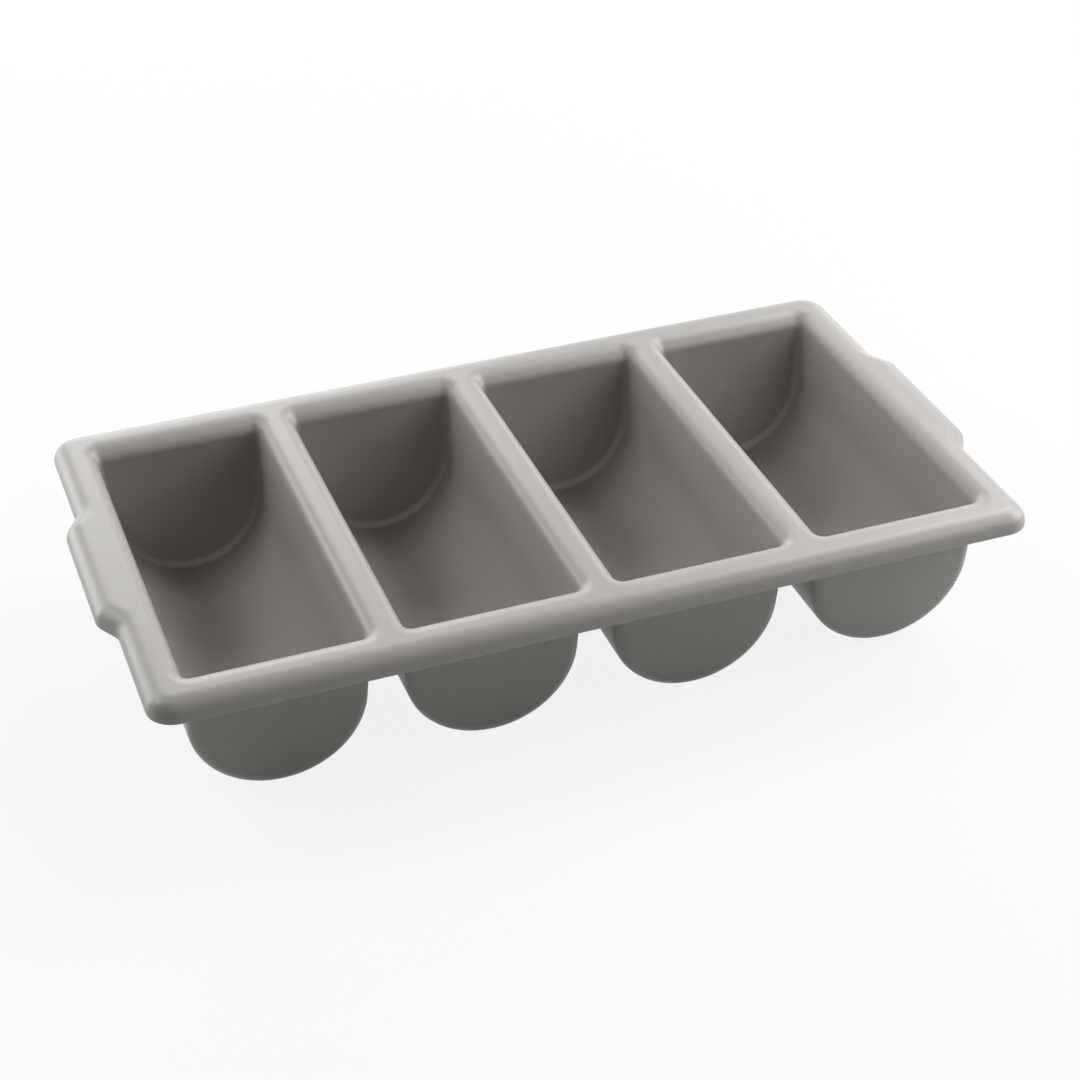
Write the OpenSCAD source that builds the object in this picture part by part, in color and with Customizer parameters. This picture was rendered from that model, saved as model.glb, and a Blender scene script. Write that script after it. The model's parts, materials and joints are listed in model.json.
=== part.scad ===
// Cutlery box: four open troughs with round floors, side by side under one rolled rim.
// X runs along the four troughs, Y along each trough, Z up; the troughs stand on Z = 0.

/* [Troughs] */
// Width of a trough's mouth, between its side walls
mouth_w = 103; // [90:1:125]
// Length of a trough's mouth, between its end walls
mouth_l = 240; // [180:1:320]
// Height from the table to the top of the rim
box_h = 94; // [75:1:105]
// Slope of the trough walls from upright, in degrees
draft = 4; // [2:0.5:8]
// Radius inside a trough where an end wall meets the side walls and the floor
corner_r = 8; // [5:0.5:14]
// Radius of the rounded edge along the sides of a trough's mouth
mouth_r = 9.5; // [6:0.25:10]
// Width of the same rounded edge at the ends of a trough's mouth
end_roll = 14; // [10:0.5:16]
// Thickness of the moulding
wall = 3; // [2:0.25:3.5]

/* [Rim] */
// Distance between the mouths of two neighbouring troughs
divider_w = 21.5; // [21:0.5:35]
// Width of the rim along the front and the back
rim_side_w = 29; // [27:0.25:42]
// Width of the rim along the left and the right end, without the handle
rim_end_w = 23.25; // [22:0.25:40]
// Width of the rim's rounded outer edge, seen from above
edge_w = 12; // [8:0.25:12.5]
// Height of that rounded edge
edge_h = 10; // [6:0.25:10.5]
// Height of the lip that turns down round the rim
lip_h = 12; // [11:0.5:25]
// Radius of the rim's corners, seen from above
rim_corner_r = 16; // [13:0.5:30]

/* [Handles] */
// Length of a handle's straight grip
handle_l = 85; // [50:1:110]
// Distance that a handle stands out from the end of the rim
handle_out = 9; // [6:0.25:16]
// Angle at which a handle's shoulders slope back to the rim
shoulder_angle = 30; // [20:1:45]
// Radius of the two bends in each shoulder
shoulder_r = 14; // [13:0.5:18]

/* [Hidden] */

$fn = 64;
trough_count = 4;
floor_steps = 10;  // facets in a quarter of the round floor
corner_steps = 6;  // facets in each corner of a trough
mouth_steps = 6;   // facets across the mouth's rounded edge
edge_steps = 6;    // facets across the rim's rounded outer edge
bend_steps = 4;    // facets along each bend of a handle's shoulder
seam_clear = 1;    // distance that a divider's seams keep from the rounded edge and the corners

grip_grey = "#a3a19c";
rim_grey = "#a8a6a1";
divider_grey = "#a5a39e";
trough_grey = "#989691";

// Rim outline, measured from the middle of the box
pitch = mouth_w + divider_w;
rim_x = (trough_count - 1) / 2 * pitch + mouth_w / 2 + rim_end_w;
rim_y = mouth_l / 2 + rim_side_w;
handle_x = rim_x + handle_out;

// Shoulder of a handle: centres of its two bends, which a straight slope joins
slope_l = (handle_out - 2 * shoulder_r * (1 - cos(shoulder_angle))) / sin(shoulder_angle);
grip_bend = [handle_x - shoulder_r, handle_l / 2];
rim_bend = grip_bend + 2 * shoulder_r * [cos(shoulder_angle), sin(shoulder_angle)]
    + slope_l * [-sin(shoulder_angle), cos(shoulder_angle)];

// Round floor: its lowest facet lies level, at low_angle from the floor's axis, and the box stands on it.
// The radius is the one at which the sloping side walls run smoothly into the floor.
low_angle = 90 - (90 - draft) / (2 * floor_steps);
inside_h = box_h - wall * sin(low_angle);
floor_r = (mouth_w / 2 - inside_h * tan(draft)) * cos(draft) / (1 - sin(low_angle) * sin(draft));
floor_z = (floor_r + wall) * sin(low_angle);

// Length of a divider, within the straight sides of the mouths
divider_l = mouth_l - 2 * (corner_r + seam_clear);

// Closed outline with elliptical corners at height z
function ring(half, corner, z) = [
    for (quarter = [0 : 3], k = [0 : corner_steps])
    let (turn = 90 * (quarter + k / corner_steps),
         side = [quarter % 3 == 0 ? 1 : -1, quarter < 2 ? 1 : -1])
    [side.x * (half.x - corner.x) + corner.x * cos(turn),
     side.y * (half.y - corner.y) + corner.y * sin(turn),
     z]
];

// Outline of a trough's mouth, grown outward at the sides and at the ends
function mouth_ring(grow, z) =
    ring([mouth_w / 2 + grow.x, mouth_l / 2 + grow.y], [corner_r + grow.x, corner_r + grow.y], z);

// Outline of a trough across its round floor, at an angle below level.
// skin is 0 for the inside face and the wall thickness for the outside one.
// A ball of the corner's radius, rolled along floor and end wall, sets the corners.
function floor_ring(skin, angle) =
    let (r = floor_r + skin,
         ball = corner_r + skin,
         z = floor_z - r * sin(angle),
         half_w = r * cos(angle),
         above_floor = r * (1 - sin(angle)),
         flat_w = sqrt(max(0, (r - ball) ^ 2 - (r * sin(angle)) ^ 2)),
         rise = sqrt(ball ^ 2 - max(0, ball - above_floor) ^ 2),
         end_y = mouth_l / 2 + skin / cos(draft) - (box_h - z) * tan(draft))
    ring([half_w, end_y - ball + rise], [half_w - flat_w, rise], z);

// Distance out from the mouth's outline to the centre of a rounded edge of that width
function roll_mid(width) = width * cos(draft) - mouth_r * (1 - sin(draft)) * tan(draft);

// Point across the rounded edge of the mouth, from its wall (angle = draft) to the top (90):
// how far it lies outside the mouth's outline at the sides and at the ends, and its height
function roll_point(skin, angle) = [
    roll_mid(mouth_r) - (mouth_r - skin) * cos(angle),
    roll_mid(end_roll) - (end_roll - skin) * cos(angle),
    box_h - mouth_r + (mouth_r - skin) * sin(angle)
];

function roll_points(skin) =
    [for (k = [0 : mouth_steps]) roll_point(skin, draft + (90 - draft) * k / mouth_steps)];

// One face of a trough from its floor up to the rim, as outlines to be joined
function skin_rings(skin) = concat(
    [for (k = [0 : floor_steps - 1]) floor_ring(skin, low_angle - (90 - draft) * k / floor_steps)],
    [floor_ring(skin, draft)],
    [for (p = roll_points(skin)) mouth_ring([p.x, p.y], p.z)]
);

function reversed(list) = [for (k = [len(list) - 1 : -1 : 0]) list[k]];
function mirrored(points) = [for (p = points) [-p.x, p.y]];

// Closed solid through a list of outlines with equal numbers of points
module join_rings(rings) {
    sides = len(rings[0]);
    last = (len(rings) - 1) * sides;
    walls = [
        for (row = [0 : len(rings) - 2], k = [0 : sides - 1])
        let (a = row * sides + k,
             b = row * sides + (k + 1) % sides)
        each [[a, a + sides, b], [b, a + sides, b + sides]]
    ];
    first_cap = [for (k = [0 : sides - 1]) k];
    last_cap = [for (k = [sides - 1 : -1 : 0]) last + k];
    polyhedron([for (r = rings) each r], concat([first_cap, last_cap], walls), convexity = 8);
}

// Point on the seam between a trough's wall and a divider, just below the rounded edge
function seam_point(skin) =
    let (p = roll_point(skin, draft)) [p.x, p.z] - seam_clear * [sin(draft), cos(draft)];

// Place of a divider in the right side of a trough's mouth
module divider_place() {
    out = mouth_r * [cos(draft), -sin(draft)];
    low = [seam_point(0) - out, seam_point(0) + 2 * out];
    high = [for (p = reversed(low)) p + [0, 3 * mouth_r]];
    translate([mouth_w / 2, 0, 0]) rotate([90, 0, 0])
        linear_extrude(divider_l, center = true) polygon(concat(low, high));
}

// Basin n: up its outside, in along the rim, over the rounded mouth and down its inside,
// with a place for the divider on each side where it has a neighbour
module trough(n) {
    seam = [for (z = [box_h - wall, box_h]) mouth_ring([mouth_r, end_roll], z)];
    color(trough_grey) at_trough(n) difference() {
        join_rings(concat(skin_rings(wall), seam, reversed(skin_rings(0))));
        if (n < trough_count) divider_place();
        if (n > 1) mirror([1, 0, 0]) divider_place();
    }
}

// Place of trough n, counted from the left
module at_trough(n) {
    translate([(n - (trough_count + 1) / 2) * pitch, 0, 0]) children();
}

// One face of a divider's section, from its seam on the left up to the crest
function divider_side(skin) =
    let (roll = [for (p = roll_points(skin)) [p.x, p.z]])
    [for (p = concat([seam_point(skin)], roll)) p - [divider_w / 2, 0]];

// Divider on the right of trough n: the rounded edges of two mouths back to back, hollow beneath
module divider(n) {
    top = divider_side(0);
    under = divider_side(wall);
    section = concat(top, reversed(mirrored(top)), mirrored(under), reversed(under));
    color(divider_grey) at_trough(n + 0.5) rotate([90, 0, 0])
        linear_extrude(divider_l, center = true) polygon(section);
}

// Rounded edge of the rim, as distances in from its outer face and down from the top
function edge_curve(skin) = [
    for (k = [0 : edge_steps])
    let (turn = 90 * k / edge_steps)
    [edge_w - (edge_w - skin) * sin(turn), edge_h - (edge_h - skin) * cos(turn)]
];

// Section of the rim's edge: over the rounded edge, down the lip and up again inside it
edge_profile = concat(edge_curve(0), [[0, lip_h], [wall, lip_h]], reversed(edge_curve(wall)));

// That section with its outer face on x = 0 and its top on y = 0
module edge_section() {
    polygon(-edge_profile);
}

// Straight run of edge along Y, facing +X
module edge_run(length) {
    rotate([90, 0, 0]) linear_extrude(length, center = true) edge_section();
}

// Bend of edge round an outside corner, from facing +X towards +Y
module edge_bend(radius, angle) {
    rotate_extrude(angle = angle) translate([radius, 0]) edge_section();
}

// Rectangle with round corners, centred
module rounded_plate(size, radius) {
    square([size.x - 2 * radius, size.y], center = true);
    square([size.x, size.y - 2 * radius], center = true);
    for (x = [-1, 1], y = [-1, 1])
        translate([x * (size.x / 2 - radius), y * (size.y / 2 - radius)]) circle(radius);
}

// Flat of the rim, with its four mouths and the dividers' places open
module rim_plate() {
    flat = 2 * [rim_x - edge_w, rim_y - edge_w];
    outline = [for (p = mouth_ring([mouth_r, end_roll], 0)) [p.x, p.y]];
    bridges = [(trough_count - 1) * pitch, divider_l];
    translate([0, 0, box_h - wall]) linear_extrude(wall) difference() {
        rounded_plate(flat, rim_corner_r - edge_w);
        for (n = [1 : trough_count]) at_trough(n) polygon(outline);
        square(bridges, center = true);
    }
}

// Edge of the rim, left open where the handles stand out
module rim_edge() {
    corner = [rim_x - rim_corner_r, rim_y - rim_corner_r];
    end_l = corner.y - rim_bend.y;
    for (x = [0, 1], y = [0, 1]) mirror([x, 0, 0]) mirror([0, y, 0]) {
        translate([corner.x, corner.y, box_h]) edge_bend(rim_corner_r, 90);
        translate([rim_x, corner.y - end_l / 2, box_h]) edge_run(end_l);
    }
    for (y = [0, 1]) mirror([0, y, 0])
        translate([0, rim_y, box_h]) rotate([0, 0, 90]) edge_run(2 * corner.x);
}

module rim() {
    color(rim_grey) union() {
        rim_plate();
        rim_edge();
    }
}

// Outline of the right handle from its middle to the rim: points with the direction they face
handle_side = concat(
    [for (k = [0 : bend_steps])
        let (face = shoulder_angle * k / bend_steps, out = [cos(face), sin(face)])
        [grip_bend + shoulder_r * out, out]],
    [for (k = [bend_steps : -1 : 0])
        let (face = shoulder_angle * k / bend_steps, out = [cos(face), sin(face)])
        [rim_bend - shoulder_r * out, out]]
);

// Section of the rim's edge at a point of that outline, with its flat carried in to the end of the rim
function handle_ring(at, out) = concat(
    [for (p = edge_profile) [at.x - p.x * out.x, at.y - p.x * out.y, box_h - p.y]],
    [for (z = [box_h - wall, box_h]) [rim_x - edge_w, at.y - edge_w * out.y, z]]
);

module handle() {
    back = [for (s = handle_side) handle_ring(s[0], s[1])];
    front = [for (s = reversed(handle_side)) handle_ring([s[0].x, -s[0].y], [s[1].x, -s[1].y])];
    color(grip_grey) join_rings(concat(front, back));
}

module handle_right() { handle(); }
module handle_left() { mirror([1, 0, 0]) handle(); }
module divider_1() { divider(1); }
module divider_2() { divider(2); }
module divider_3() { divider(3); }
module trough_1() { trough(1); }
module trough_2() { trough(2); }
module trough_3() { trough(3); }
module trough_4() { trough(4); }

rim();
handle_left();
handle_right();
divider_1();
divider_2();
divider_3();
trough_1();
trough_2();
trough_3();
trough_4();
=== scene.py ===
# %% [markdown]
# # A cutlery box in grey satin plastic
# The real box is one injection moulding: four troughs with round floors hang side by side under one rim with
# rolled edges. The rim turns down into a lip and swells into a grip at each end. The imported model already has
# each region at its right size and place. This lesson gives each one a smooth skin and a plastic finish.

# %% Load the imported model
import json

import bmesh
import bpy
import numpy as np
from mathutils import Matrix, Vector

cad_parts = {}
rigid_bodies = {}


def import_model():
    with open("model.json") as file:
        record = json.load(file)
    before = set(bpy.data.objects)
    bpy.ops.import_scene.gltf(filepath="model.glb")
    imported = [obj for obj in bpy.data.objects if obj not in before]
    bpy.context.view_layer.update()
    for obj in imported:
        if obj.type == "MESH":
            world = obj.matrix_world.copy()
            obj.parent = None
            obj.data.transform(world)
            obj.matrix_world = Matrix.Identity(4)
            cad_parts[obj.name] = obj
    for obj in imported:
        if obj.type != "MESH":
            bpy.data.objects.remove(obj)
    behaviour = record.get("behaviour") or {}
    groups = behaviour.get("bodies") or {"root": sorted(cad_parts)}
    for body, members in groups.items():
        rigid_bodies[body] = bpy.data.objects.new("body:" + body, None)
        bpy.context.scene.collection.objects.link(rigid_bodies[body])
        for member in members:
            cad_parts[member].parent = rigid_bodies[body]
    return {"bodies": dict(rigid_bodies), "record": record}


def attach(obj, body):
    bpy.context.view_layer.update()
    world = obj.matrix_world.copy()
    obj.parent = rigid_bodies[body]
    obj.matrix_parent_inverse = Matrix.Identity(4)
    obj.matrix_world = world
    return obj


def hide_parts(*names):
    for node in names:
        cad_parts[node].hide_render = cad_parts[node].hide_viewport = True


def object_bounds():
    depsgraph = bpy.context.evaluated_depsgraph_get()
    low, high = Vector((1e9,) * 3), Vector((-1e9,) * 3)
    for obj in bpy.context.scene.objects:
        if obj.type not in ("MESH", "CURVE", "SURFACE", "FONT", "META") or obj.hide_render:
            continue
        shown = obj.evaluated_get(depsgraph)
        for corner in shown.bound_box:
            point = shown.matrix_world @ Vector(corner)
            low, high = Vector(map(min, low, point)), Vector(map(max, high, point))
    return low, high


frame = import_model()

cad_low, cad_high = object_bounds()
print("packed model from", tuple(round(v, 4) for v in cad_low), "to", tuple(round(v, 4) for v in cad_high))

# %% [markdown]
# ## The moulding's sizes
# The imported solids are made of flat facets, and a facet shows on satin plastic wherever light slides over a
# curve. So each surface is worked out again from the sizes that made the solid, in metres, with finer steps.
# One size differs: the mouths' corners are tighter here than in the solids, as they are on the real box.

# %% Sizes of the moulding
MM = 0.001
CM3 = 1e-6
BOX_H = cad_high.z
WALL = 3 * MM
DRAFT = np.radians(4)

TROUGHS = 4
MOUTH_W, MOUTH_L, DIVIDER_W = 103 * MM, 240 * MM, 21.5 * MM
CORNER_R = 4.5 * MM  # of the mouths, and of the ball that rounds the floor into the end walls
MOUTH_R, END_ROLL = 9.5 * MM, 14 * MM  # the rolled edge of a mouth: its radius, and its width at the ends

RIM_X, RIM_Y, RIM_CORNER_R = 261.5 * MM, 149 * MM, 16 * MM  # half length and half width of the rim
EDGE_W, EDGE_H, LIP_H = 12 * MM, 10 * MM, 12 * MM
GRIP_L, GRIP_OUT = 85 * MM, 9 * MM
SHOULDER, SHOULDER_R = np.radians(30), 14 * MM

PITCH = MOUTH_W + DIVIDER_W
trough_x = (np.arange(TROUGHS) - (TROUGHS - 1) / 2) * PITCH
print("troughs at x =", trough_x.round(4))

# %% [markdown]
# ## One set of stations for every outline
# Mouths, floors and the rim are all rectangles with round corners, seen from above. If each outline has the
# same number of points, and point number k always faces the same way, any two outlines can be joined by a
# strip of quads. A point has a side, which is plus or minus one at a corner and slides between them along a
# straight run, and a direction that it faces. A few points close to each corner hold the flats flat.

# %% Stations round an outline
QUARTER_TURN = np.radians(90)
CORNER_STEPS = 14
HOLD = 1 * MM  # width of the flat row beside a bend, which keeps its shading off the flat
EDGE_BAND = EDGE_W + HOLD
NEAR_CORNER, BEFORE_GRIP, MID_GRIP = 0.9, 0.7, 0.25  # sides of three more stations on half a run
TINY = 1e-6

slope_l = (GRIP_OUT - 2 * SHOULDER_R * (1 - np.cos(SHOULDER))) / np.sin(SHOULDER)
grip_half = GRIP_L / 2 + 2 * SHOULDER_R * np.sin(SHOULDER) + slope_l * np.cos(SHOULDER) + HOLD
grip_side = grip_half / (RIM_Y - RIM_CORNER_R)  # where a grip ends on the rim's end run
seam_side = 1 - HOLD / (MOUTH_L / 2 - CORNER_R)  # where a divider ends on a mouth's side run

half_run = np.array([seam_side, NEAR_CORNER, BEFORE_GRIP, grip_side, MID_GRIP])
run_side = np.concatenate([half_run, [0], -half_run[::-1]])
corner_side = np.array([[1, 1], [-1, 1], [-1, -1], [1, -1]])
quarter_points = CORNER_STEPS + 1 + len(run_side)


def stations():
    """Side and turn of each point: a quarter circle at a corner, then the run to the next corner.

    Along a run the side is the mean of both corners' sides plus run_side times half their difference.
    """
    arc = QUARTER_TURN * np.linspace(0, 1, CORNER_STEPS + 1)
    side, turn = [], []
    for quarter in range(4):
        corner, next_corner = corner_side[quarter], corner_side[(quarter + 1) % 4]
        along = (corner + next_corner) / 2 + run_side[:, None] * (corner - next_corner) / 2
        side += [np.tile(corner, (len(arc), 1)), along]
        turn += [arc + QUARTER_TURN * quarter, np.full(len(run_side), QUARTER_TURN * (quarter + 1))]
    return np.concatenate(side), np.concatenate(turn)


SIDE, TURN = stations()
FACING = np.stack([np.cos(TURN), np.sin(TURN)], -1)
LEAN = np.arctan2(np.abs(FACING[:, 1]), np.abs(FACING[:, 0]))  # 0 on a side wall, 90 degrees on an end wall

columns = len(TURN)
print("stations round an outline:", columns)

# %% Spans between stations
# A span goes from a station to the next one.
here = np.arange(columns)
there = (here + 1) % columns
quarter_of = here // quarter_points
on_run = here % quarter_points >= CORNER_STEPS
along_side = on_run & (quarter_of % 2 == 1)
far_side = np.maximum(np.abs(SIDE[here, 1]), np.abs(SIDE[there, 1]))
on_seam = along_side & (far_side < seam_side + TINY)  # where a divider can stand
on_grip = along_side & (far_side < grip_side + TINY)  # where a grip can stand
print("spans beside a divider:", on_seam.sum() // 2, "and at a grip:", on_grip.sum() // 2)


def first_and_last(spans):
    """Stations where a row of spans begins and where it ends."""
    return np.concatenate([here[spans & ~np.roll(spans, 1)], there[spans & ~np.roll(spans, -1)]]).tolist()


# %% [markdown]
# ## From arrays to a piece
# Blender takes a mesh as a list of points and a list of faces. A grid of outlines is joined row by row with
# array arithmetic. Points that fall in one place are merged, and the faces of the closed shell are then
# turned outward. Smooth shading is kept below an angle, so that true edges stay crisp.

# %% Mesh helpers
BODY = next(iter(frame["bodies"]))
CRISP = np.radians(40)  # an edge that turns further than this stays sharp


def grid_quads(rows, columns, wrap_rows=False, wrap_columns=False):
    """Quads of a grid numbered row by row: each joins a point to its neighbours down and across."""
    last_row, last_column = rows - (not wrap_rows), columns - (not wrap_columns)
    r, c = np.meshgrid(np.arange(last_row), np.arange(last_column), indexing="ij")
    row, next_row, next_c = r * columns, (r + 1) % rows * columns, (c + 1) % columns
    return np.stack([row + c, row + next_c, next_row + next_c, next_row + c], -1).reshape(-1, 4)


def make_piece(name, points, faces, wear_and_sheen_mask, *nodes):
    """A closed piece from points and faces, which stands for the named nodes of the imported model."""
    used, numbers = np.unique(np.concatenate(faces), return_inverse=True)
    face_ends = np.cumsum([len(face) for face in faces])[:-1]
    mesh = bpy.data.meshes.new(name)
    mesh.from_pydata(points[used].tolist(), [], [face.tolist() for face in np.split(numbers, face_ends)])
    # The rolled edges' mask: in the finish it paints a highlight into their colour and polishes them a little.
    edge_wear_and_sheen = mesh.attributes.new("wear_and_sheen", "FLOAT", "POINT")
    edge_wear_and_sheen.data.foreach_set("value", wear_and_sheen_mask[used].astype(np.float32))
    shell = bmesh.new()
    shell.from_mesh(mesh)
    bmesh.ops.remove_doubles(shell, verts=shell.verts, dist=TINY)
    bmesh.ops.recalc_face_normals(shell, faces=shell.faces)
    volume = shell.calc_volume(signed=True)
    shell.to_mesh(mesh)
    shell.free()
    mesh.shade_smooth()
    mesh.set_sharp_from_angle(angle=CRISP)
    edge_of = np.empty(len(mesh.loops), np.int32)
    mesh.loops.foreach_get("edge_index", edge_of)
    open_edges = np.count_nonzero(np.bincount(edge_of, minlength=len(mesh.edges)) != 2)
    piece = bpy.data.objects.new(name, mesh)
    bpy.context.scene.collection.objects.link(piece)
    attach(piece, BODY)
    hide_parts(*nodes)
    print(f"{name}: {len(mesh.polygons)} faces, {open_edges} open edges, {volume / CM3:.1f} cm3")
    return piece


# %% [markdown]
# ## The troughs
# A trough is a drafted basin with a half-round floor. The floor meets the end wall in a fillet, as if a ball
# had been rolled round the join, and the top edge rolls over into the rim. A box with bevels would miss the
# way that the floor's curve runs out into the straight walls, so the basin is cut into level outlines, like
# the contour lines of a valley, and the outlines are joined. The outside skin is the same surface, one wall
# thickness further out.

# %% Sizes of the round floor
FLOOR_STEPS, EDGE_STEPS = 44, 12
WALL_ROWS = np.array([0.02, 0.15, 0.5, 0.85, 0.972])  # heights of the rows on the straight wall, as shares
MOUTH_ROLL = np.array([MOUTH_R, END_ROLL])

low_angle = QUARTER_TURN - (QUARTER_TURN - DRAFT) / (2 * FLOOR_STEPS)
inside_h = BOX_H - WALL * np.sin(low_angle)
floor_half_w = (MOUTH_W / 2 - inside_h * np.tan(DRAFT)) * np.cos(DRAFT)
floor_r = floor_half_w / (1 - np.sin(low_angle) * np.sin(DRAFT))
floor_z = (floor_r + WALL) * np.sin(low_angle)
print(f"floor radius {floor_r / MM:.2f} mm, its axis {floor_z / MM:.2f} mm above the table")


# %% Outlines of a trough
def level_rows(quarter, z):
    """Outlines at heights z: the first quarter's distances from the middle, times each station's side."""
    xy = SIDE * quarter
    return np.concatenate([xy, np.broadcast_to(z[:, None, None], xy.shape[:2] + (1,))], -1)


def mouth_rows(grow, z):
    """The mouth's rectangle, grown outward by one distance at the sides and one at the ends.

    The radius of its corners grows by the same distances, so the rolled edge turns round a corner evenly.
    """
    middle = np.array([MOUTH_W, MOUTH_L]) / 2 - CORNER_R
    return level_rows(middle + (CORNER_R + grow)[:, None] * np.abs(FACING), z)


def floor_rows(skin):
    """Level cuts through the round floor and the rolled fillet at its ends, from the lowest line up.

    At a depth d below the floor's axis, a point whose distance from the axis is rho stands sqrt(rho^2 - d^2)
    off the middle. Along the fillet rho is the inner radius plus the ball times the sine of phi, and the
    distance along the trough grows by the ball times the cosine of phi.
    """
    angle = np.linspace(low_angle, DRAFT, FLOOR_STEPS + 1)[:, None]
    outer, ball = floor_r + skin, CORNER_R + skin
    inner = outer - ball
    depth = outer * np.sin(angle)
    z = floor_z - depth
    end_y = MOUTH_L / 2 + skin / np.cos(DRAFT) - (BOX_H - z) * np.tan(DRAFT)
    first = np.arcsin(np.clip((depth - inner) / ball, 0, 1))
    phi = QUARTER_TURN - (QUARTER_TURN - first) * LEAN / QUARTER_TURN
    x = np.sqrt(np.maximum((inner + ball * np.sin(phi)) ** 2 - depth ** 2, 0))
    y = end_y - ball + ball * np.cos(phi)
    return level_rows(np.stack([x, y], -1), z[:, 0])


def edge_rows(skin):
    """The rolled edge of the mouth, from the wall's slope to the level rim.

    In section it is a quarter circle along the sides, and a quarter ellipse, wider than high, at the ends.
    """
    angle = np.linspace(DRAFT, QUARTER_TURN, EDGE_STEPS + 1)
    middle = MOUTH_ROLL * np.cos(DRAFT) - MOUTH_R * (1 - np.sin(DRAFT)) * np.tan(DRAFT)
    out = middle - (MOUTH_ROLL - skin) * np.cos(angle)[:, None]
    return mouth_rows(out, BOX_H - MOUTH_R + (MOUTH_R - skin) * np.sin(angle))


def skin_rows(skin):
    """One face of a trough: the floor, straight rows up the wall, and the rolled edge."""
    floor, edge = floor_rows(skin), edge_rows(skin)
    share = WALL_ROWS[:, None, None]
    return np.concatenate([floor, floor[-1] * (1 - share) + edge[0] * share, edge])


seam = mouth_rows(np.stack([MOUTH_ROLL, MOUTH_ROLL]), np.array([BOX_H, BOX_H - WALL]))
basin = np.concatenate([skin_rows(0), seam, skin_rows(WALL)[::-1]])
basin_rows = len(basin)
print("outlines in a trough, inside and outside:", basin_rows)

# %% Four troughs
first_edge = FLOOR_STEPS + 1 + len(WALL_ROWS)
wall_top, outer_wall_top = first_edge - 1, basin_rows - first_edge
# Mask of the mouth's rolled edge, for its painted highlight and its polish.
rolled = np.zeros(basin_rows)
rolled[first_edge:first_edge + EDGE_STEPS + 1] = np.sin(np.linspace(0, np.pi, EDGE_STEPS + 1))


def basin_faces(left, right):
    """Faces of a basin. True at a side means that a divider stands there, so its rolled edge is left out.

    The gap is closed by a strip along the wall's top and by the section of the edge at each end.
    """
    spans = on_seam & np.where(quarter_of == 1, left, right)
    quads = grid_quads(basin_rows, columns, wrap_columns=True).reshape(basin_rows - 1, columns, 4)
    keep = np.ones(quads.shape[:2], bool)
    keep[wall_top:outer_wall_top, spans] = False
    low, high = wall_top * columns, outer_wall_top * columns
    sill = np.stack([low + here, low + there, high + there, high + here], -1)[spans]
    faces = np.concatenate([quads[keep], sill]).tolist()
    faces += [here.tolist(), (here + (basin_rows - 1) * columns).tolist()]
    return faces + [list(range(low + k, high + k + 1, columns)) for k in first_and_last(spans)]


basin_edge = np.repeat(rolled, columns)
basins = []
for n, x in enumerate(trough_x, start=1):
    points = basin.reshape(-1, 3) + [x, 0, 0]
    faces = basin_faces(n > 1, n < TROUGHS)
    basins.append(make_piece(f"basin_{n}", points, faces, basin_edge, f"trough_{n}"))

# %% [markdown]
# ## The rim
# The rim is the flat that all four mouths share, with a rounded outer edge and a lip that turns down. A plate
# with four holes cut out of it would get long thin faces, which catch the light at the corners. So the rim is
# built as four cells, one round each mouth. In a cell, every station of the mouth is joined to a station on
# the cell's border. Where the border is the outside of the box, a section of the lip is carried along it, and
# where it is the middle of a divider, the next cell goes on. The lip's lower edges get a small round, as any
# moulded edge has.

# %% Section of the rim's edge
NOSE_STEPS, LIP_STEPS = 12, 4
LIP_ROUND = 0.6 * MM


def lip_section():
    """Distances in from the outer face and down from the top, from the flat round to the underside.

    A quarter ellipse turns the flat down, two small quarter circles round the lip's lower edges, and a
    smaller quarter ellipse inside keeps the wall's thickness.
    """
    nose = QUARTER_TURN * np.linspace(0, 1, NOSE_STEPS + 1)[:, None]
    small = QUARTER_TURN * np.linspace(0, 1, LIP_STEPS + 1)[:, None]
    edge = np.array([EDGE_W, EDGE_H])
    turned = np.concatenate([np.sin(nose), np.cos(nose)], 1)
    holds = np.array([EDGE_H + HOLD / 2, LIP_H - LIP_ROUND - HOLD / 2])
    outer_hold = np.stack([np.zeros(2), holds], 1)
    inner_hold = np.stack([np.full(2, WALL), holds[::-1]], 1)
    outer_low = [0, LIP_H] + LIP_ROUND * np.concatenate([1 - np.cos(small), np.sin(small) - 1], 1)
    inner_low = [WALL, LIP_H] + LIP_ROUND * np.concatenate([np.sin(small) - 1, np.cos(small) - 1], 1)
    outside = edge - edge * turned
    inside = edge - (edge - WALL) * turned[::-1]
    flat, under = [[EDGE_BAND, 0]], [[EDGE_BAND, WALL]]
    return np.concatenate([flat, outside, outer_hold, outer_low, inner_low, inner_hold, inside, under])


SECTION = lip_section()
# Mask of the rim's outer round, for its painted highlight and its polish.
nose_mask = np.zeros(len(SECTION))
nose_mask[1:NOSE_STEPS + 2] = np.sin(np.linspace(0, np.pi, NOSE_STEPS + 1))
print("points in the lip's section:", len(SECTION))


# %% Border of a cell
def cell_border(left, right):
    """Border of a cell round a mouth: true at a side means that the side is an end of the box.

    Each side has a distance from the middle and two corner radii; along the front and the back they slide
    from one side's values to the other's. A divider's corner has no width, so its points lie on one line.
    """
    end = [RIM_X - EDGE_BAND - trough_x[-1], RIM_CORNER_R - EDGE_BAND, RIM_CORNER_R - EDGE_BAND]
    half_y = RIM_Y - EDGE_BAND
    middle = [PITCH / 2, 0, half_y - MOUTH_L / 2 + CORNER_R]
    low, high = (np.array(end if is_end else middle) for is_end in (left, right))
    share = (SIDE[:, 0] + 1) / 2
    _, round_x, round_y = np.outer(low, 1 - share) + np.outer(high, share)
    x = (high[0] - high[1]) * share - (low[0] - low[1]) * (1 - share) + round_x * FACING[:, 0]
    y = SIDE[:, 1] * (half_y - round_y) + round_y * FACING[:, 1]
    return np.stack([x, y], -1)


# %% One rim of four cells
CELL_ROWS = len(SECTION) + 2
mouth_top, flat, under, mouth_under = 0, 1, len(SECTION), len(SECTION) + 1  # rows of a cell


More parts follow.
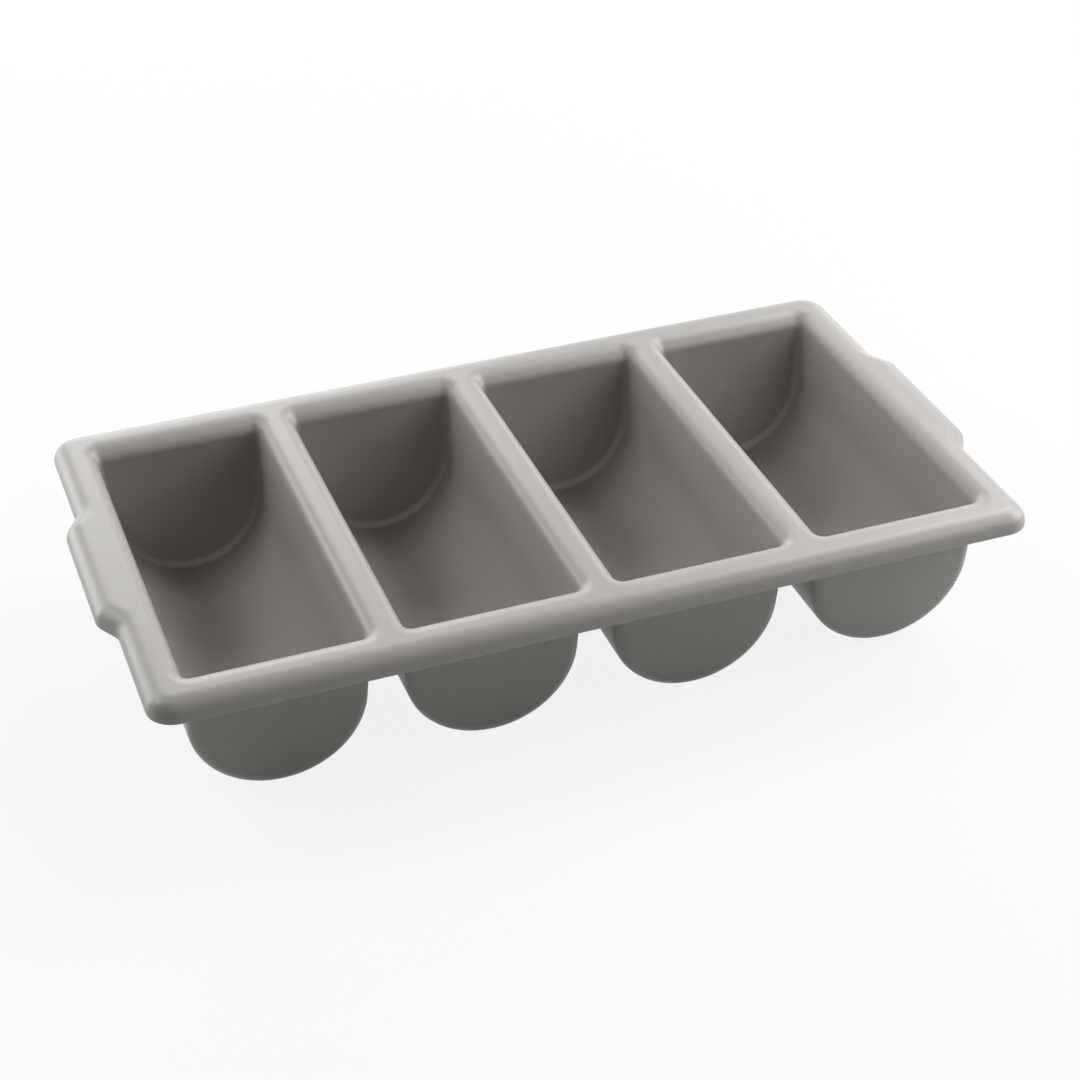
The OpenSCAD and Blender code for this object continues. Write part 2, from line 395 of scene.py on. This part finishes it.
def cell_points(x, border):
    """Points of a cell: the mouth, the section carried round the border, and the mouth again underneath."""
    out = (EDGE_BAND - SECTION[:, 0])[:, None, None] * FACING + border
    down = np.broadcast_to(BOX_H - SECTION[:, 1][:, None, None], out.shape[:2] + (1,))
    rows = np.concatenate([seam[:1], np.concatenate([out, down], -1), seam[1:]])
    return rows.reshape(-1, 3) + [x, 0, 0]


def cell_faces(left, right):
    """Faces of a cell. Spans of a divider are left out, and spans under a grip have no lip."""
    at_end = np.where((quarter_of == 1) | (quarter_of == 2), left, right)
    divider, grip = on_seam & ~at_end, on_grip & at_end
    outside = (on_run & (quarter_of % 2 == 0)) | (at_end & ~grip)

    def strip(spans, upper, lower):
        upper, lower = upper * columns, lower * columns
        return np.stack([upper + here, upper + there, lower + there, lower + here], -1)[spans]

    rings = [(mouth_top, flat), (under, mouth_under), (mouth_under, mouth_top)]
    quads = [strip(~divider, *ring) for ring in rings]
    quads += [strip(outside, r, r + 1) for r in range(flat, under)] + [strip(grip, flat, under)]
    faces = np.concatenate(quads).tolist()
    divider_end, grip_end = [mouth_top, flat, under, mouth_under], list(range(flat, under + 1))
    for spans, loop in ((divider, divider_end), (grip, grip_end)):
        faces += [[r * columns + k for r in loop] for k in first_and_last(spans)]
    return faces


rim_points, rim_faces = [], []
for n, x in enumerate(trough_x):
    left, right = n == 0, n == TROUGHS - 1
    start = n * CELL_ROWS * columns
    rim_points.append(cell_points(x, cell_border(left, right)))
    rim_faces += [[k + start for k in face] for face in cell_faces(left, right)]
rim_edge = np.tile(np.repeat(np.concatenate([[0], nose_mask, [0]]), columns), TROUGHS)
rim = make_piece("rim_frame", np.concatenate(rim_points), rim_faces, rim_edge, "rim")

# %% [markdown]
# ## The dividers
# Between two troughs the rolled edges of both mouths meet back to back, like the round back of a saddle,
# and light comes through underneath. A divider carries the stations of the mouths beside it, and reaches a
# little way down their straight walls, so that no line shows where the pieces meet.

# %% Three dividers
run = np.flatnonzero((quarter_of == 3) & (np.abs(SIDE[:, 1]) < seam_side + TINY))
flip = np.array([-1, 1, 1])
half_saddle = basin[wall_top:outer_wall_top + 1, run] - [PITCH / 2, 0, 0]
top_rows = EDGE_STEPS + 3  # the wall's top row, the rolled edge's rows (steps + 1) and the seam
top, below = np.split(half_saddle, [top_rows])
saddle = np.concatenate([top, (top * flip)[::-1], (below * flip)[::-1], below])
around = len(saddle)
saddle_faces = grid_quads(around, len(run), wrap_rows=True).tolist()
saddle_faces += [[r * len(run) + k for r in range(around)] for k in (0, len(run) - 1)]
crest = rolled[wall_top:][:top_rows]
saddle_edge = np.repeat(np.concatenate([crest, crest[::-1], np.zeros(2 * len(below))]), len(run))
saddles = []
for n, x in enumerate(trough_x[:-1] + PITCH / 2, start=1):
    points = saddle.reshape(-1, 3) + [x, 0, 0]
    saddles.append(make_piece(f"saddle_{n}", points, saddle_faces, saddle_edge, f"divider_{n}"))

# %% [markdown]
# ## The grips
# At each end the rim swells outward into a grip with sloping shoulders. Fingers reach behind its lip. A
# stretched copy of the rim's end would thin the lip on the shoulders. So the same lip section is carried
# along the grip's outline: a straight, a bend out, a slope, a bend back, and a short straight on the rim's
# own line.

# %% Two grips
BEND_STEPS = 10


def grip_outline():
    """Points of the right grip's outline with the direction each faces, from the front to the back."""
    turn = SHOULDER * np.linspace(0, 1, BEND_STEPS + 1)[:, None]
    out = np.concatenate([np.cos(turn), np.sin(turn)], 1)
    grip_x = RIM_X + GRIP_OUT
    grip_bend = np.array([grip_x - SHOULDER_R, GRIP_L / 2])
    slope = slope_l * np.array([-np.sin(SHOULDER), np.cos(SHOULDER)])
    rim_bend = grip_bend + 2 * SHOULDER_R * out[-1] + slope
    straight = [[grip_x, 0], [grip_x, GRIP_L / 2 - HOLD]]
    bends = np.concatenate([grip_bend + SHOULDER_R * out, rim_bend - SHOULDER_R * out[::-1]])
    points = np.concatenate([straight, bends, [[RIM_X, grip_half]]])
    facing = np.concatenate([[[1, 0]] * 2, out, out[::-1], [[1, 0]]])
    mirror = [1, -1]
    return [np.concatenate([(half * mirror)[:0:-1], half]) for half in (points, facing)]


outline, outward = grip_outline()
at = outline[:, None] - SECTION[:, 0][:, None] * outward[:, None]
down = np.broadcast_to(BOX_H - SECTION[:, 1][:, None], at.shape[:2] + (1,))
inner_y = at[:, [-1, 0], 1]
inner_x = np.full(inner_y.shape, RIM_X - EDGE_BAND)
inner_z = np.broadcast_to([BOX_H - WALL, BOX_H], inner_y.shape)
grip_rows = np.concatenate([np.concatenate([at, down], -1), np.stack([inner_x, inner_y, inner_z], -1)], 1)
count, around = grip_rows.shape[:2]
grip_faces = grid_quads(count, around, wrap_columns=True).tolist()
grip_faces += [list(range(around)), list(range((count - 1) * around, count * around))]
grip_edge = np.tile(np.concatenate([nose_mask, [0, 0]]), count)
grips = []
for word, sign in (("left", -1), ("right", 1)):
    points = grip_rows.reshape(-1, 3) * [sign, 1, 1]
    grips.append(make_piece(f"grip_{word}", points, grip_faces, grip_edge, f"handle_{word}"))

# %% [markdown]
# ## The plastic
# The box is moulded in a satin grey plastic. Its colour drifts very slightly, because the melt cools
# unevenly, and its skin has the fine grain of the mould. Both are noise on Object coordinates, so the pattern
# runs on over every seam. They sit in one node group that each finish places with its own values.

# %% Node helpers
COLOURS_IN, COLOUR_OUT = slice(6, 8), 2  # a Mix node's colours come after its numbers and vectors


def feed(tree, socket, value):
    """Link a value that is another node's output to the socket, or else set it there."""
    if isinstance(value, bpy.types.NodeSocket):
        tree.links.new(value, socket)
    else:
        socket.default_value = value


def add_node(tree, kind, **inputs):
    """A node of that kind with values or links for its named inputs."""
    node = tree.nodes.new(kind)
    for name, value in inputs.items():
        feed(tree, node.inputs[name.replace("_", " ")], value)
    return node


def math_node(tree, operation, *values):
    """Output of a Math node on values or links."""
    node = tree.nodes.new("ShaderNodeMath")
    node.operation = operation
    for socket, value in zip(node.inputs, values):
        feed(tree, socket, value)
    return node.outputs[0]


def map_range(tree, value, from_range, to_range=(0, 1)):
    """Output of a Map Range node, which slides from the second range's low to its high and stops there."""
    return add_node(tree, "ShaderNodeMapRange", Value=value, From_Min=from_range[0], From_Max=from_range[1],
                    To_Min=to_range[0], To_Max=to_range[1]).outputs[0]


def mix_colour(tree, share, first, second):
    """First colour at share 0, second at share 1. A colour is a link or three numbers."""
    node = tree.nodes.new("ShaderNodeMix")
    node.data_type = "RGBA"
    tree.links.new(share, node.inputs[0])
    for socket, value in zip(node.inputs[COLOURS_IN], (first, second)):
        feed(tree, socket, value if isinstance(value, bpy.types.NodeSocket) else (*value, 1))
    return node.outputs[COLOUR_OUT]


def new_group(name, inputs, outputs):
    """An empty shader node group with vectors in and values out, and its two end nodes."""
    group = bpy.data.node_groups.new(name, "ShaderNodeTree")
    for socket in inputs:
        group.interface.new_socket(socket, in_out="INPUT", socket_type="NodeSocketVector")
    for socket in outputs:
        group.interface.new_socket(socket, in_out="OUTPUT", socket_type="NodeSocketFloat")
    return group, group.nodes.new("NodeGroupInput"), group.nodes.new("NodeGroupOutput")


def place_group(tree, group):
    """A node that uses the group."""
    node = tree.nodes.new("ShaderNodeGroup")
    node.node_tree = group
    return node


# %% Moulded skin
# A scale counts waves in a metre: grain of about a millimetre, ripple of six, and clouds as wide as a hand.
GRAIN_NOISE = {"Scale": 900, "Detail": 2.0, "Roughness": 0.55}
RIPPLE_NOISE = {"Scale": 150, "Detail": 1.0}
DRIFT_NOISE = {"Scale": 7, "Detail": 4.0, "Roughness": 0.6}
GRAIN_SHARE = 0.55  # the rest of the height is ripple


def moulded_skin():
    """Group: Grain is fine noise with a coarser ripple under it, Drift is broad clouds. Both run 0 to 1."""
    group, source, sink = new_group("moulded_skin", ["Vector"], ["Grain", "Drift"])
    place = source.outputs["Vector"]
    fine = add_node(group, "ShaderNodeTexNoise", Vector=place, **GRAIN_NOISE)
    ripple = add_node(group, "ShaderNodeTexNoise", Vector=place, **RIPPLE_NOISE)
    drift = add_node(group, "ShaderNodeTexNoise", Vector=place, **DRIFT_NOISE)
    low = math_node(group, "MULTIPLY", ripple.outputs["Fac"], 1 - GRAIN_SHARE)
    grain = math_node(group, "MULTIPLY_ADD", fine.outputs["Fac"], GRAIN_SHARE, low)
    group.links.new(grain, sink.inputs["Grain"])
    group.links.new(drift.outputs["Fac"], sink.inputs["Drift"])
    return group


skin_group = moulded_skin()
print("node group", skin_group.name)

# %% [markdown]
# Cutlery slides along a trough and leaves faint hairlines on the floor. They are noise that is stretched
# along the trough and cut off near its peaks, so that only a few short lines are left.

# %% Cutlery hairlines
LINES_ACROSS, LINES_ALONG = 420, 9  # waves in a metre
LINES_NOISE = {"Scale": 1.0, "Detail": 3.0}
LINES_TURN = np.radians(3)
LINE_PEAKS = 0.62, 0.74  # noise below the first is no line, and above the second a full one
LINE_FLOOR = 0.5, 0.95  # upward share of a surface's direction, from no lines to full ones


def cutlery_lines():
    """Group: Lines is 1 on a hairline and 0 off it, on surfaces that face up."""
    group, source, sink = new_group("cutlery_lines", ["Vector", "Normal"], ["Lines"])
    stretch = add_node(group, "ShaderNodeMapping", Vector=source.outputs["Vector"],
                       Rotation=(0, 0, LINES_TURN), Scale=(LINES_ACROSS, LINES_ALONG, LINES_ACROSS))
    noise = add_node(group, "ShaderNodeTexNoise", Vector=stretch.outputs[0], **LINES_NOISE)
    upward = add_node(group, "ShaderNodeSeparateXYZ", Vector=source.outputs["Normal"])
    lines = math_node(group, "MULTIPLY", map_range(group, noise.outputs["Fac"], LINE_PEAKS),
                      map_range(group, upward.outputs["Z"], LINE_FLOOR))
    group.links.new(lines, sink.inputs["Lines"])
    return group


line_group = cutlery_lines()
print("node group", line_group.name)

# %% [markdown]
# Each finish mixes two greys by the drift and sets the roughness and the bump from the grain. On the rolled
# edges it paints a highlight into the colour as a lighter grey, and lowers the roughness a little, where hands
# and stacked boxes polish the plastic. The pieces are one moulding, so all finishes share one grey, and differ
# only in how matt they are and in the hairlines.

# %% Three finishes
WARMTH = np.array([1.0, 0.985, 0.962])  # less green and less blue make the record's grey a little warmer
RIM_ROUGH, BASIN_ROUGH = 0.42, 0.45
LINE_STRENGTH = 0.1
GREY = np.array(frame["record"]["materials"][0]["base_color"]) * WARMTH
DRIFT_DARK, DRIFT_LIGHT = 0.96, 1.04  # tones are multiples of the grey
SPECK_SHARE, SPECK_TONE = 0.12, 1.3
# The first two paint a highlight on the rolled edges: a lighter grey, mixed in by the edges' mask.
EDGE_SHEEN_SHARE, EDGE_SHEEN_TONE, EDGE_POLISH = 0.05, 1.35, 0.05  # polish is taken from the roughness
LINE_TONE, LINE_POLISH = 1.6, 0.3
ROUGH_SPREAD = 0.05
NOISE_RANGE, GRAIN_RANGE = (0.3, 0.7), (0.25, 0.75)  # noise seldom leaves its middle
BUMP_STRENGTH, BUMP_DEPTH = 0.12, 0.15 * MM


def plastic(name, rough, lines):
    """Satin plastic: rough is the mean roughness, and lines is the strength of the hairlines."""
    material = bpy.data.materials.new(name)
    material.use_nodes = True
    tree = material.node_tree
    place = tree.nodes.new("ShaderNodeTexCoord")
    skin = place_group(tree, skin_group)
    tree.links.new(place.outputs["Object"], skin.inputs["Vector"])
    edge_wear_and_sheen = tree.nodes.new("ShaderNodeAttribute")
    edge_wear_and_sheen.attribute_name = "wear_and_sheen"
    grain, edge_wear_and_sheen = skin.outputs["Grain"], edge_wear_and_sheen.outputs["Fac"]

    cloud = map_range(tree, skin.outputs["Drift"], NOISE_RANGE)
    speck = map_range(tree, grain, NOISE_RANGE, (0, SPECK_SHARE))
    colour = mix_colour(tree, cloud, GREY * DRIFT_DARK, GREY * DRIFT_LIGHT)
    colour = mix_colour(tree, speck, colour, GREY * SPECK_TONE)
    # Painted highlight: the rolled edges are mixed towards a lighter grey.
    colour = mix_colour(tree, math_node(tree, "MULTIPLY", edge_wear_and_sheen, EDGE_SHEEN_SHARE), colour, GREY * EDGE_SHEEN_TONE)
    matt = map_range(tree, grain, GRAIN_RANGE, (rough - ROUGH_SPREAD, rough + ROUGH_SPREAD))
    matt = math_node(tree, "SUBTRACT", matt, math_node(tree, "MULTIPLY", edge_wear_and_sheen, EDGE_POLISH))
    if lines:
        marks = place_group(tree, line_group)
        tree.links.new(place.outputs["Object"], marks.inputs["Vector"])
        tree.links.new(place.outputs["Normal"], marks.inputs["Normal"])
        faint = math_node(tree, "MULTIPLY", marks.outputs["Lines"], lines)
        colour = mix_colour(tree, faint, colour, GREY * LINE_TONE)
        matt = math_node(tree, "SUBTRACT", matt, math_node(tree, "MULTIPLY", faint, LINE_POLISH))
    bump = add_node(tree, "ShaderNodeBump", Strength=BUMP_STRENGTH, Distance=BUMP_DEPTH, Height=grain)
    shader = tree.nodes["Principled BSDF"]
    for word, link in (("Base Color", colour), ("Roughness", matt), ("Normal", bump.outputs[0])):
        tree.links.new(link, shader.inputs[word])
    print("finish", name)
    return material


rim_plastic = plastic("rim_plastic", rough=RIM_ROUGH, lines=0)
grip_plastic = plastic("grip_plastic", rough=RIM_ROUGH, lines=0)
basin_plastic = plastic("basin_plastic", rough=BASIN_ROUGH, lines=LINE_STRENGTH)
for finish, pieces in ((rim_plastic, [rim, *saddles]), (grip_plastic, grips), (basin_plastic, basins)):
    for piece in pieces:
        piece.data.materials.append(finish)

# %% [markdown]
# ## The studio
# The box stands on a white floor. To the camera, the floor and the background glow white. To every other ray,
# the floor is pale paper that takes the box's shadow, and the background gives no light of its own.

# %% Floor and background
FLOOR_HALF = 4.0
PAPER_GREY, PAPER_ROUGH = 0.7, 0.9
GLOW_SHARE = 0.86  # the rest of what the camera sees is lit paper, with the shadow on it
WHITE = (1, 1, 1, 1)


def seen_directly(tree):
    """1 for rays from the camera and for mirror and glass rays, 0 for the rays that light the scene."""
    path = tree.nodes.new("ShaderNodeLightPath")
    seen = math_node(tree, "MAXIMUM", path.outputs["Is Camera Ray"], path.outputs["Is Glossy Ray"])
    return math_node(tree, "MAXIMUM", seen, path.outputs["Is Transmission Ray"])


floor_mesh = bpy.data.meshes.new("floor")
floor_points = np.append(corner_side * FLOOR_HALF, np.zeros((4, 1)), 1)
floor_mesh.from_pydata(floor_points.tolist(), [], [(0, 1, 2, 3)])
floor = bpy.data.objects.new("floor", floor_mesh)
bpy.context.scene.collection.objects.link(floor)

paper = bpy.data.materials.new("white_paper")
paper.use_nodes = True
tree = paper.node_tree
sheet = tree.nodes["Principled BSDF"]
sheet.inputs["Base Color"].default_value = (PAPER_GREY, PAPER_GREY, PAPER_GREY, 1)
sheet.inputs["Roughness"].default_value = PAPER_ROUGH
glow = add_node(tree, "ShaderNodeEmission", Color=WHITE, Strength=1.0)
blend = tree.nodes.new("ShaderNodeMixShader")
share = math_node(tree, "MULTIPLY", seen_directly(tree), GLOW_SHARE)
for socket, link in zip(blend.inputs, (share, sheet.outputs[0], glow.outputs[0])):
    tree.links.new(link, socket)
tree.links.new(blend.outputs[0], tree.nodes["Material Output"].inputs[0])
floor_mesh.materials.append(paper)

world = bpy.data.worlds.new("studio")
bpy.context.scene.world = world
world.use_nodes = True
background = world.node_tree.nodes["Background"]
background.inputs["Color"].default_value = WHITE
world.node_tree.links.new(seen_directly(world.node_tree), background.inputs["Strength"])
print("white floor", floor.name, "and white background", world.name)

# %% [markdown]
# Soft square lamps stand behind the box and to its right, so that the rim is the brightest part and the
# insides fall off into shade. A small low one behind draws a light line along the right edge of each divider,
# and two small ones close by lighten the grip on the left and the front on the right.

# %% Lamps
FAR, NEAR = 2.0, 0.9
LARGE, SMALL = 1.0, 0.5


def soft_lamp(name, azimuth, elevation, distance, size, power):
    """A square lamp that faces the box. Azimuth 0 is in front and turns towards the right, in degrees."""
    a, e = np.radians([azimuth, elevation])
    toward = np.array([np.sin(a) * np.cos(e), -np.cos(a) * np.cos(e), np.sin(e)])
    right = np.array([np.cos(a), np.sin(a), 0])
    light = bpy.data.lights.new(name, "AREA")
    light.shape = "SQUARE"
    light.size, light.energy = size, power
    lamp = bpy.data.objects.new(name, light)
    place = np.eye(4)
    place[:3] = np.stack([right, np.cross(toward, right), toward, toward * distance], 1)
    lamp.matrix_world = Matrix(place.tolist())
    bpy.context.scene.collection.objects.link(lamp)
    return lamp


lamps = [soft_lamp("back_right", 120, 45, FAR, LARGE, 21.3),
         soft_lamp("back", 180, 25, FAR, LARGE, 13.5),
         soft_lamp("low_back_left", 210, 8, FAR, LARGE, 5.7),
         soft_lamp("back_left", 240, 45, FAR, LARGE, 13.6),
         soft_lamp("low_back_right", 145, 5, FAR, SMALL, 2.0),
         soft_lamp("right", 90, 25, FAR, LARGE, 17.1),
         soft_lamp("near_left", 235, 10, NEAR, SMALL, 2.1),
         soft_lamp("near_right", 60, 40, NEAR, SMALL, 2.1)]
print("lamps", [lamp.name for lamp in lamps])

# %% [markdown]
# ## The camera
# It stands in front on the left and looks down, with a long lens, and it is rolled by about a degree. The
# angles come from fitting a camera to the corners of the four mouths.

# %% Camera
AZIMUTH, ELEVATION, ROLL = np.radians([-19.3103, 33.6535, -1.1601])
TARGET = np.array([-0.0171, -0.0706, BOX_H])
DISTANCE = 1.3457
SENSOR, LENS = 36.0, 78.1

level_back = np.array([np.sin(AZIMUTH), -np.cos(AZIMUTH), 0])
back = level_back * np.cos(ELEVATION) + [0, 0, np.sin(ELEVATION)]
right = np.array([np.cos(AZIMUTH), np.sin(AZIMUTH), 0])
up = np.cross(back, right)
rolled_right = np.cos(ROLL) * right + np.sin(ROLL) * up
rolled_up = np.cos(ROLL) * up - np.sin(ROLL) * right

camera_data = bpy.data.cameras.new("camera")
camera_data.sensor_width, camera_data.lens = SENSOR, LENS
camera = bpy.data.objects.new("camera", camera_data)
place = np.eye(4)
place[:3] = np.stack([rolled_right, rolled_up, back, TARGET + DISTANCE * back], 1)
camera.matrix_world = Matrix(place.tolist())
bpy.context.scene.collection.objects.link(camera)
bpy.context.scene.camera = camera
bpy.context.scene.view_settings.view_transform = "Standard"
print("camera at", place[:3, 3].round(4))
